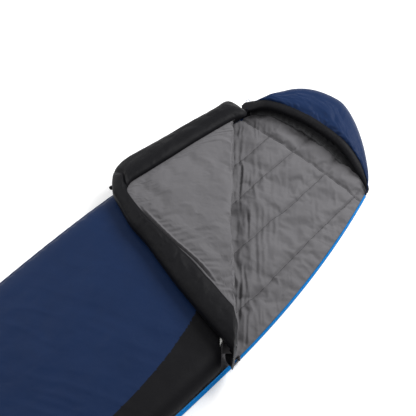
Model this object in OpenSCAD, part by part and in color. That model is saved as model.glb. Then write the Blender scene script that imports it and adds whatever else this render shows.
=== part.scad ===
// Hooded, gently tapered sleeping bag, laid flat on its back with the corner of
// the top panel folded open across it.
// Frame: +X towards the zip side, +Y towards the head, +Z up, millimetres.
// Origin: on the bag's long axis, halfway along it, in the plane it rests on.

/* [Plan] */
// Half of the bag's width at its widest
half_w = 390; // [340:1:430]
// How far along the axis the bag is widest
wide_y = -120; // [-200:10:0]
// Radius of the zip edge, from the widest place up to the neck
zip_r = 3600; // [3200:50:5000]
// Radius of the closed side, from the widest place up to the neck
side_r = 5000; // [4000:50:7000]
// Radius of both sides, from the widest place down to the foot
low_r = 8000; // [6000:100:12000]
// Distance from the origin to the foot end
foot_y = 1075; // [900:5:1150]
// Radius of the two foot corners
foot_r = 130; // [80:5:180]
// Where the hood starts, measured along the axis
neck_y = 800; // [760:5:840]
// Where the head end of the hood is
head_y = 1077; // [1040:1:1120]
// Where the top panel's neck edge is
top_neck_y = 777; // [700:1:779]
// Radius of the top panel's corner at the zip
corner_r = 90; // [85:5:140]

/* [Layers] */
// Thickness that stands for one layer of sewn cloth
cloth = 3; // [2:0.5:4]
// Thickness of one padded panel, cloth and filling together
panel_t = 32; // [28:1:36]
// Height of the lining of the top panel, above the resting plane
top_z0 = 62; // [60:1:66]
// Gap between the folded corner and the panel that it lies on
fold_gap = 0.5; // [0.5:0.1:1]

/* [Folded corner] */
// Where the crease crosses the long axis
fold_y = 384; // [340:1:430]
// Angle of the crease to the X axis
fold_tilt = 50; // [46:1:54]
// Width of the black collar and draft tube inside the panel's edge
band_w = 82; // [70:1:84]
// How far the collar and draft tube stand out past the panel's edge
band_out = 14; // [8:1:14]
// Thickness of the collar and draft tube
band_t = 26; // [18:1:26]
// Width of the black border outside, at the crease
border_w = 198; // [150:1:220]
// Width of the black border outside, near the foot
border_foot_w = 80; // [60:1:110]

/* [Zip] */
// Height of the lower edge of the blue tape
zip_z = 3; // [3:0.5:5]
// Width of one tape outside the seam
tape_w = 8; // [6:1:8]
// Height and depth of one side of the coil
coil_w = 3.4; // [3:0.1:3.4]
// Where the zip ends, towards the foot
zip_foot_y = -880; // [-920:10:-700]
// Where the zip ends, towards the neck
zip_neck_y = 785; // [700:1:785]
// Where the slider rests
slider_y = -60; // [-60:1:-40]
// Length of the slider
slider_l = 16; // [14:1:18]
// Length of the pull from its pin
pull_l = 34; // [26:1:40]

/* [Hood] */
// Radius of the front edge of the hood's trim
trim_r = 565; // [540:5:600]
// Width of the hood's trim
trim_w = 42; // [34:1:50]
// How far the middle of the trim is behind the neck
trim_rise = 80; // [70:1:90]
// Thickness of the hood's padded wall
wall_t = 18; // [14:1:22]
// Height of the hood's wall
wall_z = 68; // [60:1:68]
// Height of the top of the hood's brim
brim_z = 98; // [94:1:104]

/* [Small parts] */
// Outer radius of the cord lock
lock_r = 6; // [5:0.5:7]
// Travel of the cord lock's button
lock_travel = 3; // [2:0.5:4]
// Diameter of the elastic drawcord
cord_d = 2.5; // [2:0.5:3]
// Width of the webbing of the foot's hang loops
loop_w = 20; // [15:1:25]
// Length of the closure tab
tab_l = 24; // [20:1:24]

/* [Hidden] */
$fn = 64;

navy = [0.13, 0.20, 0.34];
black = [0.12, 0.12, 0.13];
grey = [0.43, 0.42, 0.44];
white = [0.9, 0.9, 0.88];
blue = [0.0, 0.41, 0.72];
metal = [0.2, 0.2, 0.22];

top_z1 = top_z0 + panel_t - 2;          // top face of the top panel
hinge_z = top_z1 + fold_gap;            // height of the crease's axis
coil_z = zip_z + tape_w;                // lower edge of the lower coil
coil_gap = 0.2;                         // between the two sides of the coil
top_coil_z = coil_z + coil_w + coil_gap;
top_tape_z = top_coil_z + coil_w;
rim_z = top_tape_z + tape_w;            // where the black side starts, above the zip
tape_t = 1.2;                           // thickness of the tape
rim_in = 5.5;                           // padding is set back this far from the zip
crease_end = 8;                         // the closed zip stops this far below the crease
skin_gap = 0.8;                         // between the side wall and what it holds
brim_z0 = wall_z + 2;                   // underside of the brim
trim_top = brim_z + 3;                  // top of the trim
hood_back = 8;                          // the brim starts this far behind the neck
big = 4000;

// ---- plan curves ---------------------------------------------------------------
// Half-width of one side at y, grown outwards by o
function side_x(y, r, o = 0) =
    let (q = y > wide_y ? r : low_r) half_w - q + sqrt(pow(q + o, 2) - pow(y - wide_y, 2));

// Angle of the side's outward normal at y
function side_a(y, r) = asin((y - wide_y) / (y > wide_y ? r : low_r));

// A round corner between a side and a straight end across the bag, at level end_y
function corner(end_y, r_side, r, o, n = 12) =
    let (s = sign(end_y), a = side_a(end_y - s * r, r_side), y = end_y - s * r + r * sin(a),
         c = [side_x(y, r_side) - r * cos(a), end_y - s * r])
    [for (i = [0 : n]) let (t = a + (s * 90 - a) * i / n) c + (r + o) * [cos(t), sin(t)]];

// One side from the foot to y1, as points every 50 mm or so
function side(y1, r, o, n = 32) =
    let (y0 = -foot_y + foot_r + 10)
    [for (i = [0 : n]) let (y = y0 + (y1 - y0) * i / n) [side_x(y, r, o), y]];

function flip(p) = [for (q = p) [-q[0], q[1]]];
function back(p) = [for (i = [len(p) - 1 : -1 : 0]) p[i]];
function bezier(p, n = 20) = [for (i = [0 : n]) let (t = i / n, u = 1 - t)
    u * u * u * p[0] + 3 * u * u * t * p[1] + 3 * u * t * t * p[2] + t * t * t * p[3]];

// Open curve moved sideways by o, to the right of its direction
function shift_curve(p, o) = let (m = len(p) - 1)
    [for (i = [0 : m]) let (d = p[min(i + 1, m)] - p[max(i - 1, 0)])
        p[i] + o * [d[1], -d[0]] / norm(d)];

neck_zip = [side_x(neck_y, zip_r), neck_y];
neck_side = [-side_x(neck_y, side_r), neck_y];
crown = [-70, head_y];                   // the hood leans a little to the closed side
// The hood's outline, from the zip side over the crown to the closed side
hood_curve = concat(
    bezier([neck_zip, neck_zip + [-18, 68], crown + [120, 0], crown]),
    [for (i = [1 : 20])
        bezier([crown, crown + [-180, 0], neck_side + [-25, 130], neck_side])[i]]);

// The whole bag in plan, grown by o
module outline(o = 0) polygon(concat(
    back(corner(-foot_y, zip_r, foot_r, o)), side(neck_y - 10, zip_r, o),
    shift_curve(hood_curve, o),
    back(flip(side(neck_y - 10, side_r, o))), flip(corner(-foot_y, side_r, foot_r, o))));

// The top panel in plan, grown by o
module top_outline(o = 0) polygon(concat(
    back(corner(-foot_y, zip_r, foot_r, o)), side(top_neck_y - corner_r, zip_r, o),
    corner(top_neck_y, zip_r, corner_r, o),
    flip(back(corner(top_neck_y, side_r, corner_r, o))),
    back(flip(side(top_neck_y - corner_r, side_r, o))),
    flip(corner(-foot_y, side_r, foot_r, o))));

// Everything on the zip side of the crease, from a distance s
module beyond_crease(s = 0) translate([0, fold_y]) rotate(-fold_tilt)
    translate([-big / 2, s]) square([big, big]);
// Everything on the foot side of the crease, from a distance s
module before_crease(s = 0) translate([0, fold_y]) rotate(-fold_tilt)
    translate([-big / 2, -s - big]) square([big, big]);
module above_y(y) translate([-big / 2, y]) square([big, big]);
module below_y(y) translate([-big / 2, y - big]) square([big, big]);

module slab(z0, z1) translate([0, 0, z0]) linear_extrude(z1 - z0) children();
module ring(o, i) difference() {
    outline(o);
    outline(i);
}

// Turns what is drawn closed about the crease, so that it lies open on the bag
module laid_open() translate([0, fold_y, hinge_z])
    rotate(a = 180, v = [cos(fold_tilt), -sin(fold_tilt), 0])
    translate([0, -fold_y, -hinge_z]) children();

// A strip that follows the zip edge, from y0 to y1, between offsets i and o
module zip_strip(y0, y1, i, o, n = 30) polygon(concat(
    [for (k = [0 : n]) let (y = y0 + (y1 - y0) * k / n, a = side_a(y, zip_r))
        [side_x(y, zip_r), y] + i * [cos(a), sin(a)]],
    [for (k = [n : -1 : 0]) let (y = y0 + (y1 - y0) * k / n, a = side_a(y, zip_r))
        [side_x(y, zip_r), y] + o * [cos(a), sin(a)]]));

// Local frame on the zip edge: x outwards, y towards the neck
module on_zip(y) translate([side_x(y, zip_r), y, 0]) rotate(side_a(y, zip_r)) children();

// Width of the black border outside: wide at the crease, narrower to the foot
function border(y) = border_foot_w
    + (border_w - border_foot_w) * exp(min(0, y + 24) / 330);
module border_zone(n = 40) polygon(concat([[big, -big], [big, big]],
    [for (k = [n : -1 : 0]) let (y = -foot_y - 20 + (neck_y + foot_y + 40) * k / n)
        [side_x(max(y, 20 - foot_y), zip_r) - border(y), y]]));

// ---- lower panel ---------------------------------------------------------------
module bottom_shell() color(navy) slab(0, cloth) outline(tape_t / 2);
module bottom_fill() color(white) slab(cloth, panel_t - cloth) outline(-rim_in);
module bottom_lining() color(grey) slab(panel_t - cloth, panel_t) outline(-rim_in);

// The shell's turn around the closed side and the foot
module side_shell() color(navy) slab(cloth, top_z1 - cloth) difference() {
    intersection() {
        ring(0, -cloth);
        below_y(top_neck_y - 35);
    }
    intersection() {
        above_y(zip_foot_y);
        translate([0, -big / 2]) square(big);
    }
}

// ---- top panel, foot side of the crease ------------------------------------------
module top_zone(o) intersection() {
    top_outline(o);
    before_crease();
}

module top_shell() color(navy) slab(top_z1 - cloth, top_z1) difference() {
    top_zone(0);
    border_zone();
}

module top_border() color(black) {
    slab(top_z1 - cloth, top_z1) intersection() {
        top_zone(0);
        border_zone();
    }
    slab(rim_z, top_z1 - cloth) intersection() {
        zip_strip(zip_foot_y, neck_y, -cloth, 0);
        before_crease(crease_end);
    }
}

module top_fill() color(white) slab(top_z0 + cloth, top_z1 - cloth) top_zone(-cloth - skin_gap);
module top_lining() color(grey) slab(top_z0, top_z0 + cloth) top_zone(-cloth - skin_gap);

// ---- hood's wall -----------------------------------------------------------------
module hood_ring(o, i) intersection() {
    ring(o, i);
    above_y(neck_y + hood_back);
}
module hood_wall_shell() color(navy) slab(cloth, wall_z) hood_ring(0, -cloth);
module hood_wall_fill() color(white) slab(panel_t, wall_z) hood_ring(-cloth, cloth - wall_t);
module hood_wall_lining() color(grey) slab(panel_t, wall_z) hood_ring(cloth - wall_t, -wall_t);

// ---- zip -------------------------------------------------------------------------
module zip_tape_bottom() color(blue) slab(zip_z, coil_z)
    zip_strip(zip_foot_y, zip_neck_y, -tape_t / 2, tape_t / 2);
module zip_coil_bottom() color(blue) slab(coil_z, coil_z + coil_w)
    zip_strip(zip_foot_y, zip_neck_y, -coil_w / 2, coil_w / 2);
module zip_tape_top() color(blue) slab(top_tape_z, rim_z) intersection() {
    zip_strip(zip_foot_y, neck_y, -tape_t / 2, tape_t / 2);
    before_crease(crease_end);
}
module zip_coil_top() color(blue) slab(top_coil_z, top_tape_z) intersection() {
    zip_strip(zip_foot_y, neck_y, -coil_w / 2, coil_w / 2);
    before_crease(crease_end);
}
module stop(y, l, h) on_zip(y) translate([0.3, 0, coil_z - 2]) cube([4, l, h]);
module zip_stops() color(metal) {
    stop(zip_foot_y - 12, 11.5, 11);
    stop(zip_neck_y + 0.5, 5, 7);
}

module slider_body() color(metal) on_zip(slider_y) {
    inner = 2.1;
    plate = 2.3;
    z0 = coil_z - 3;
    height = 13;
    for (x = [-inner - plate, inner])
        translate([x, -slider_l / 2, z0]) cube([plate, slider_l, height]);
    translate([-inner - plate, slider_l / 2 - 5, coil_z + coil_w + 0.6])
        cube([2 * (inner + plate), 5, z0 + height - coil_z - coil_w - 0.6]);
    for (z = [z0 + 1.5, z0 + 9.5])
        translate([inner + plate, -2.2, z]) cube([4.6, 4.4, 2]);
    translate([pin_x, 0, z0 + 1.5]) cylinder(r = 1, h = 10, $fn = 32);
}
pin_x = 7;                               // the pull's pin, out from the zip's plane

module slider_pull() color(metal) on_zip(slider_y) {
    z0 = coil_z + 0.9;
    height = 5.2;
    difference() {
        union() {
            translate([pin_x, 0, z0]) cylinder(r = 2.4, h = height, $fn = 40);
            translate([pin_x - 1, -8, z0]) cube([2, 8, height]);
            translate([pin_x - 1, -pull_l, z0 - 2]) cube([2, pull_l - 7, height + 4]);
        }
        translate([pin_x, 0, z0 - 1]) cylinder(r = 1.08, h = height + 2, $fn = 32);
    }
}

// ---- folded corner of the top panel, drawn closed ----------------------------------
module flap_zone(o) intersection() {
    top_outline(o);
    beyond_crease(fold_gap);
}
module flap_border_zone() {
    border_zone();
    above_y(top_neck_y - band_w);
}
module flap_shell() color(navy) laid_open() slab(top_z1 - cloth, top_z1) difference() {
    flap_zone(0);
    flap_border_zone();
}
module flap_border() color(black) laid_open() {
    slab(top_z1 - cloth, top_z1) intersection() {
        flap_zone(0);
        flap_border_zone();
    }
    slab(top_z0 + cloth, top_z1 - cloth) difference() {
        flap_zone(0);
        top_outline(-cloth);
    }
}
module flap_fill() color(white) laid_open()
    slab(top_z0 + cloth, top_z1 - cloth) flap_zone(-cloth);
module flap_lining() color(grey) laid_open()
    slab(top_z0, top_z0 + cloth) flap_zone(-band_w);

// The collar and the draft tube meet on a mitre through the corner's centre
module mitre(s) translate([side_x(top_neck_y - corner_r, zip_r) - corner_r, top_neck_y - corner_r])
    rotate(side_a(top_neck_y, zip_r) / 2 + 45 + s * 90) translate([0, -big / 2]) square(big);
module band() slab(top_z0 + cloth - band_t, top_z0 + cloth) intersection() {
    difference() {
        flap_zone(band_out);
        top_outline(-band_w);
    }
    children();
}
module neck_collar() color(black) laid_open() band() mitre(1);
module draft_tube() color(black) laid_open() band() mitre(-1);

flap_tape_z = top_z0 + 7;                // lower edge of the flap's tape when closed
flap_zip_y = top_neck_y - corner_r;      // the flap's zip stops below the corner
module flap_strip(o) intersection() {
    zip_strip(-foot_y / 2, flap_zip_y, 0.1, o);
    beyond_crease(crease_end);
}
module flap_zip_tape() color(blue) laid_open()
    slab(flap_tape_z, flap_tape_z + tape_w) flap_strip(tape_t);
module flap_zip_coil() color(blue) laid_open()
    slab(flap_tape_z - coil_w, flap_tape_z) flap_strip(coil_w);

tab_y = 700;                             // middle of the closure tab
tab_z = top_z0 + 8;                      // its lower face when closed
tab_w = 18;
module closure_tab() color(black) laid_open() on_zip(tab_y)
    translate([0.8, -tab_w / 2, tab_z]) cube([tab_l, tab_w, 2]);
module closure_hook_pad() color(grey) laid_open() on_zip(tab_y)
    translate([8, 3 - tab_w / 2, tab_z - 1.5]) cube([tab_l - 10, tab_w - 6, 1.5]);

// ---- hood's brim -----------------------------------------------------------------
trim_c = [-14, neck_y + trim_rise - trim_r];
module trim_ring(r0, r1) intersection() {
    difference() {
        translate(trim_c) circle(r1, $fn = 180);
        translate(trim_c) circle(r0, $fn = 180);
    }
    outline(-0.5);
    above_y(neck_y + hood_back);
}
module brim_zone(o) difference() {
    intersection() {
        outline(o);
        above_y(neck_y + hood_back);
    }
    translate(trim_c) circle(trim_r + trim_w, $fn = 180);
}
module brim_shell() color(navy) slab(brim_z - cloth, brim_z) brim_zone(0);
module brim_fill() color(white) slab(brim_z0 + cloth, brim_z - cloth) brim_zone(-cloth);
module brim_lining() color(grey) slab(brim_z0, brim_z0 + cloth) brim_zone(-cloth);

channel_r = trim_r + trim_w / 2;         // middle of the drawcord's channel
channel_z = (brim_z0 + trim_top) / 2;
module hood_trim() color(black) difference() {
    slab(brim_z0, trim_top) trim_ring(trim_r, trim_r + trim_w);
    slab(channel_z - 2, channel_z + 2) difference() {
        translate(trim_c) circle(channel_r + 2, $fn = 180);
        translate(trim_c) circle(channel_r - 2, $fn = 180);
    }
}
module hood_drawcord() color(metal) slab(channel_z - cord_d / 2, channel_z + cord_d / 2)
    trim_ring(channel_r - cord_d / 2, channel_r + cord_d / 2);

// ---- cord lock, beside the neck on the closed side -----------------------------------
lock = [-326, 818, 36];                  // bottom centre of the barrel
lock_h = 16;
lock_wall = 1.5;
button_r = lock_r - lock_wall - 0.3;
button_out = 4.5;                        // how far the button stands out of the barrel
spring_h = 6;
module cord_lock_anchor() color(black) translate([lock[0] + lock_r, lock[1] - 5, lock[2] + 3])
    cube([neck_side[0] - lock[0] - lock_r - 4.5, 10, 8]);
module cord_lock_barrel() color(black) translate(lock) difference() {
    cylinder(r = lock_r, h = lock_h);
    translate([0, 0, 2]) cylinder(r = lock_r - lock_wall, h = lock_h);
}
module cord_lock_spring() color(metal) translate(lock + [0, 0, 2]) difference() {
    cylinder(r = button_r - 0.4, h = spring_h);
    translate([0, 0, -1]) cylinder(r = button_r - 1.4, h = spring_h + 2);
}
module cord_lock_button() color(black) translate(lock + [0, 0, 2 + spring_h + 0.05])
    cylinder(r = button_r, h = lock_h - 2 - spring_h + button_out);

// The loop of elastic cord that leaves the barrel and goes back into it
loop_route = [[-327, 823.5, 45], [-329, 828, 45], [-333, 834, 45], [-338, 838, 44],
    [-343, 841, 43], [-348, 845, 42], [-352, 850, 41], [-353, 856, 40], [-350, 861, 40],
    [-345, 862, 40], [-340, 859, 41], [-337, 854, 42], [-335, 848, 43], [-333, 842, 44],
    [-330, 836, 45], [-326, 829, 45], [-323, 822.5, 45]];

// Closed tube of diameter d along the points p, with n sides
module cord_tube(p, d, n = 8) {
    m = len(p) - 1;
    rings = [for (i = [0 : m])
        let (t = p[min(i + 1, m)] - p[max(i - 1, 0)], u = t / norm(t),
             s = cross(u, [0, 0, 1]), a = s / norm(s), b = cross(a, u))
        for (k = [0 : n - 1]) p[i] + d / 2 * (a * cos(360 * k / n) + b * sin(360 * k / n))];
    polyhedron(rings, concat(
        [[for (k = [0 : n - 1]) k]], [[for (k = [n - 1 : -1 : 0]) m * n + k]],
        [for (i = [0 : m - 1]) for (k = [0 : n - 1])
            [i * n + k, (i + 1) * n + k, (i + 1) * n + (k + 1) % n, i * n + (k + 1) % n]]));
}
module drawcord_loop() color([0.45, 0.55, 0.68]) cord_tube(loop_route, cord_d);

// ---- hang loops of webbing, sewn into the foot seam ------------------------------------
loop_x = 150;
loop_out = 26;
loop_t = 2;
loop_h = 12;
loop_z = 36;
module hang_loop() translate([-loop_w / 2, -foot_y - loop_out, loop_z]) difference() {
    cube([loop_w, loop_out - 0.2, loop_h]);
    translate([-1, loop_t, loop_t]) cube([loop_w + 2, loop_out - 2 * loop_t, loop_h - 2 * loop_t]);
}
module hang_loops() color(black) for (x = [-loop_x, loop_x]) translate([x, 0, 0]) hang_loop();

// ---- what is drawn -------------------------------------------------------------------
bottom_shell();
bottom_fill();
bottom_lining();
side_shell();
top_shell();
top_border();
top_fill();
top_lining();
hood_wall_shell();
hood_wall_fill();
hood_wall_lining();
zip_tape_bottom();
zip_coil_bottom();
zip_tape_top();
zip_coil_top();
zip_stops();
hang_loops();
flap_shell();
flap_border();
flap_fill();
flap_lining();
neck_collar();
draft_tube();
flap_zip_tape();
flap_zip_coil();
closure_tab();
closure_hook_pad();
slider_body();
slider_pull();
brim_shell();
brim_fill();
brim_lining();
hood_trim();
hood_drawcord();
cord_lock_anchor();
cord_lock_barrel();
cord_lock_spring();
cord_lock_button();
drawcord_loop();
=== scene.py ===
"""Hooded sleeping bag, laid flat with the corner of its top panel folded open.

Everything is in metres, in the CAD model's frame: +X to the zip side, +Y to the head,
+Z up. The folded corner is called the flap. Its pieces are shaped as if it were closed,
and fold() then turns them over the crease, round a soft roll.
"""
import math

import bpy
import numpy as np
from mathutils import Euler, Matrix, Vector
from mathutils.bvhtree import BVHTree


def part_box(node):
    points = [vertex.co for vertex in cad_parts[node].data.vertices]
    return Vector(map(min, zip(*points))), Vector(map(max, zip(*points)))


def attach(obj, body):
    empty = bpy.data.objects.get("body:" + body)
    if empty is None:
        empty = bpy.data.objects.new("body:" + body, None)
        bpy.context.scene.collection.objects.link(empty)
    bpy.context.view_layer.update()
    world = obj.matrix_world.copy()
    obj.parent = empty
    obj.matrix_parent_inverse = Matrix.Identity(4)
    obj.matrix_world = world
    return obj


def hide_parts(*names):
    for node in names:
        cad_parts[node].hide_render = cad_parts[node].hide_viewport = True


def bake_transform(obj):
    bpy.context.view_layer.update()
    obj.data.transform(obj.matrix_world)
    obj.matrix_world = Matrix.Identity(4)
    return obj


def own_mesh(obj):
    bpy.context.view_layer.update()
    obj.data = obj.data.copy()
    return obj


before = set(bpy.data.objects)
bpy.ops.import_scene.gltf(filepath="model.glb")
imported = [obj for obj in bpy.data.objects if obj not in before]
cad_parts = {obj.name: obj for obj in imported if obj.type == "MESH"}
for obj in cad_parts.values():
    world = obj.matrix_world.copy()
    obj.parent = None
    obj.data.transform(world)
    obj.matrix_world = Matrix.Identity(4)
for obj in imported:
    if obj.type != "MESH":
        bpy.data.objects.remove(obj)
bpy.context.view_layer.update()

# ---- sizes, from the frame and from the part's own plan ----
HALF_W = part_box("bottom_shell")[1][0] - 0.0006
FOOT_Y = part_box("bottom_shell")[0][1] + 0.0006
HEAD_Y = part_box("hood_wall_shell")[1][1]
LOW_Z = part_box("bottom_lining")[1][2]       # top of the lower panel
TOP_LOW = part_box("top_lining")[0][2]        # underside of the top panel
TOP_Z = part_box("top_shell")[1][2]           # top of the top panel
WIDE_Y, NECK_Y, TOP_NECK_Y = -0.12, 0.8, 0.777   # widest place, bag's and top panel's neck
ZIP_R, SIDE_R, LOW_R = 3.6, 5.0, 8.0        # radii of the sides, above and below the widest
FOOT_R, CORNER_R = 0.13, 0.09               # radii at the foot and at the flap's corner
SOFT_R = CORNER_R + 0.042                   # the flap's corner as it really hangs
BAND_W, BAND_OUT = 0.082, 0.014             # a band's width, and how far it stands out
CREASE = np.array([0.0, 0.384])
TILT = math.radians(50)
ALONG = np.array([math.cos(TILT), -math.sin(TILT)])   # along the crease, to the zip
ACROSS = np.array([math.sin(TILT), math.cos(TILT)])   # square to it, to the neck
HINGE_Z = TOP_Z + 0.0005
ROLL = 0.030                                # radius of the roll at the crease
CREASE_BACK = 0.024                         # how far behind the hinge the roll lies, at most
SHELL_BACK = CREASE_BACK + 0.016            # how far behind it the outer shell stops
FLATNESS = 0.25                             # how far the roll bulges past the crease
COLLAR_SLACK = np.array([-0.002, -0.010, -0.024])   # how far the collar's end sags

# ---- camera: where the photograph was taken from ----
CAMERA_AT = (1.5718, -1.5265, 2.9260)
CAMERA_YAW, CAMERA_PITCH = 0.72946, 0.85704
LENS_MM, SENSOR_MM = 92.4, 36.0


def add_object(name, data):
    made = bpy.data.objects.new(name, data)
    bpy.context.scene.collection.objects.link(made)
    return made


def make_camera():
    data = bpy.data.cameras.new("camera")
    data.lens, data.sensor_width = LENS_MM, SENSOR_MM
    data.clip_end = 50
    camera = add_object("camera", data)
    camera.location = CAMERA_AT
    camera.rotation_euler = Euler((math.pi / 2 - CAMERA_PITCH, 0, CAMERA_YAW))
    bpy.context.scene.camera = camera


make_camera()


# ---- small tools ----
def smooth(a, b, x):
    """0 below a, 1 above b, and smooth between."""
    t = np.clip((np.asarray(x, float) - a) / (b - a), 0, 1)
    return t * t * (3 - 2 * t)


def bump(x, width):
    """A smooth hill of height 1 at x = 0."""
    return np.exp(-(np.asarray(x) / width) ** 2)


def noise(x, y, size, seed):
    """Smooth noise from -1 to 1, with lumps about size across."""
    lattice = np.random.default_rng(seed).uniform(-1, 1, (64, 64))
    u, v = np.asarray(x) / size + 500.5, np.asarray(y) / size + 500.5
    i, j = np.floor(u).astype(int), np.floor(v).astype(int)
    s, t = u - i, v - j
    s, t = s * s * (3 - 2 * s), t * t * (3 - 2 * t)

    def at(a, b):
        return lattice[(i + a) % 64, (j + b) % 64]

    low = at(0, 0) * (1 - s) + at(1, 0) * s
    high = at(0, 1) * (1 - s) + at(1, 1) * s
    return low * (1 - t) + high * t


def waver(t, size, seed):
    """Smooth noise along one line."""
    return noise(t, 0 * t, size, seed)


def rough(x, y, size, seed):
    """Smooth noise with finer noise on it."""
    return sum(noise(x, y, size / 2 ** k, seed + k) / 2 ** k for k in range(3)) / 1.5


def grid(name, points, material, loop=False):
    """A quad mesh from points[row, column]; loop joins the last column to the first."""
    rows, cols = points.shape[:2]
    base = np.arange(rows * cols).reshape(rows, cols)
    if loop:
        base = np.hstack([base, base[:, :1]])
    quads = np.stack([base[:-1, :-1], base[:-1, 1:], base[1:, 1:], base[1:, :-1]], -1)
    return mesh(name, points.reshape(-1, 3), quads.reshape(-1, 4), material)


def mesh(name, points, faces, material):
    data = bpy.data.meshes.new(name)
    data.from_pydata([tuple(p) for p in points], [], [tuple(f) for f in faces])
    data.materials.append(material)
    data.shade_smooth()
    data.update()
    return add_object(name, data)


def centres(grid_values):
    """A value for each face of a grid: the mean of two opposite corners."""
    return (grid_values[:-1, :-1] + grid_values[1:, 1:]) / 2


def paint(piece, materials, pick):
    """Adds materials to a piece; pick says which one each of its faces has."""
    for material in materials:
        piece.data.materials.append(material)
    piece.data.polygons.foreach_set("material_index", pick.reshape(-1).astype(int))


def points_of(piece):
    return np.array([v.co for v in piece.data.vertices])


def final_mesh(piece):
    """A mesh of a piece with its modifiers applied, or of a cord with its thickness."""
    graph = bpy.context.evaluated_depsgraph_get()
    return bpy.data.meshes.new_from_object(piece.evaluated_get(graph))


def thicken(piece, depth=0.001, side=-1):
    """Gives a sheet its thickness, so that it is a closed solid."""
    solid = piece.modifiers.new("thick", "SOLIDIFY")
    solid.thickness, solid.offset = depth, side
    made = final_mesh(piece)
    piece.modifiers.clear()
    old, piece.data = piece.data, made
    bpy.data.meshes.remove(old)


def settle(piece, held, spare=0.03, bending=2.0, pressure=0.15, cap=0.014, frames=16):
    """Lets a sheet with spare cloth wrinkle between the points that are held."""
    group = piece.vertex_groups.new(name="held")
    for k in np.flatnonzero(held > 0):
        group.add([int(k)], float(held[k]), "REPLACE")
    start = points_of(piece)
    cloth = piece.modifiers.new("cloth", "CLOTH")
    cloth.point_cache.frame_start, cloth.point_cache.frame_end = 1, frames
    rules = cloth.settings
    rules.vertex_group_mass = "held"
    rules.quality, rules.mass, rules.air_damping = 5, 0.15, 2
    rules.tension_stiffness = rules.compression_stiffness = 20
    rules.shear_stiffness, rules.bending_stiffness = 8, bending
    rules.tension_damping = rules.compression_damping = 10
    rules.shrink_min = -spare
    rules.use_pressure, rules.uniform_pressure_force = True, pressure
    rules.effector_weights.gravity = 0
    for k in range(1, frames + 1):
        bpy.context.scene.frame_set(k)
    graph = bpy.context.evaluated_depsgraph_get()
    moved = np.array([v.co for v in piece.evaluated_get(graph).data.vertices]) - start
    piece.modifiers.clear()
    piece.vertex_groups.clear()
    far = np.linalg.norm(moved, axis=1, keepdims=True)
    place = start + moved * np.minimum(1, cap / np.maximum(far, 1e-9))
    piece.data.vertices.foreach_set("co", place.reshape(-1))
    bpy.context.scene.frame_set(1)


def relax(piece, shape, rounds):
    """Smooths a grid's inner points a little."""
    p = points_of(piece).reshape(*shape, 3)
    for _ in range(rounds):
        q = p.copy()
        q[1:-1, 1:-1] = (4 * p[1:-1, 1:-1] + p[:-2, 1:-1] + p[2:, 1:-1]
                         + p[1:-1, :-2] + p[1:-1, 2:]) / 8
        p = q
    piece.data.vertices.foreach_set("co", p.reshape(-1))
    return p


def finer(p):
    """Doubles a grid of points both ways, on a smooth curve through them."""
    for axis in (0, 1):
        q = np.moveaxis(p, axis, 0)
        wide = np.concatenate([2 * q[:1] - q[1:2], q, 2 * q[-1:] - q[-2:-1]])
        between = (9 * (q[:-1] + q[1:]) - wide[:-3] - wide[3:]) / 16
        out = np.empty((2 * len(q) - 1, *q.shape[1:]))
        out[0::2], out[1::2] = q, between
        p = np.moveaxis(out, 0, axis)
    return p


def redraw(piece, points):
    """Gives a piece a new grid of points, with the same name and material."""
    name, material = piece.name, piece.data.materials[0]
    bpy.data.objects.remove(piece)
    return grid(name, points, material)


def cap_ends(piece, rows, cols):
    """Closes the two ends of a looped grid with fans."""
    data = piece.data
    count = len(data.vertices)
    co = points_of(piece)
    faces = [list(p.vertices) for p in data.polygons]
    tips = [co[:cols].mean(0), co[(rows - 1) * cols:rows * cols].mean(0)]
    last = (rows - 1) * cols
    for k in range(cols):
        m = (k + 1) % cols
        faces.append([count, m, k])
        faces.append([count + 1, last + k, last + m])
    material = data.materials[0]
    made = bpy.data.meshes.new(data.name)
    made.from_pydata([tuple(p) for p in co] + [tuple(p) for p in tips], [], faces)
    made.materials.append(material)
    made.shade_smooth()
    piece.data = made


def joined(name, pieces):
    with bpy.context.temp_override(active_object=pieces[0], selected_editable_objects=pieces):
        bpy.ops.object.join()
    pieces[0].name = name
    return pieces[0]


def filling(name, low, high, node_name, body):
    """A closed pad of fibre between two grids of points."""
    rows, cols = low.shape[:2]
    ring_rows = np.concatenate([low, high[:, ::-1]], 1)
    pad = grid(name, ring_rows, FIBRE, loop=True)
    cap_ends(pad, rows, 2 * cols)
    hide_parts(node_name)
    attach(pad, body)


# ---- plan of the bag ----
def side_x(y, r, o=0.0):
    q = np.where(np.asarray(y) > WIDE_Y, r, LOW_R)
    return HALF_W - q + np.sqrt((q + o) ** 2 - (y - WIDE_Y) ** 2)


def side_a(y, r):
    return np.arcsin((y - WIDE_Y) / np.where(np.asarray(y) > WIDE_Y, r, LOW_R))


def corner(end_y, r_side, r, count=16):
    """A round corner between a side and a straight end, at level end_y."""
    s = np.sign(end_y)
    a = side_a(end_y - s * r, r_side)
    y = end_y - s * r + r * np.sin(a)
    c = np.array([side_x(y, r_side) - r * np.cos(a), end_y - s * r])
    t = a + (s * math.pi / 2 - a) * np.linspace(0, 1, count)
    return c + r * np.stack([np.cos(t), np.sin(t)], -1)


def bezier(p, count=40):
    t = np.linspace(0, 1, count)[:, None]
    u = 1 - t
    p = [np.array(q) for q in p]
    return u**3 * p[0] + 3 * u * u * t * p[1] + 3 * u * t * t * p[2] + t**3 * p[3]


NECK_ZIP = np.array([float(side_x(NECK_Y, ZIP_R)), NECK_Y])
NECK_SIDE = np.array([-float(side_x(NECK_Y, SIDE_R)), NECK_Y])
CROWN = np.array([-0.07, HEAD_Y])
HOOD_CURVE = np.vstack([
    bezier([NECK_ZIP, NECK_ZIP + [-0.040, 0.090], CROWN + [0.08, 0], CROWN]),
    bezier([CROWN, CROWN + [-0.20, 0], NECK_SIDE + [0.020, 0.13], NECK_SIDE])[1:]])


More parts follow.
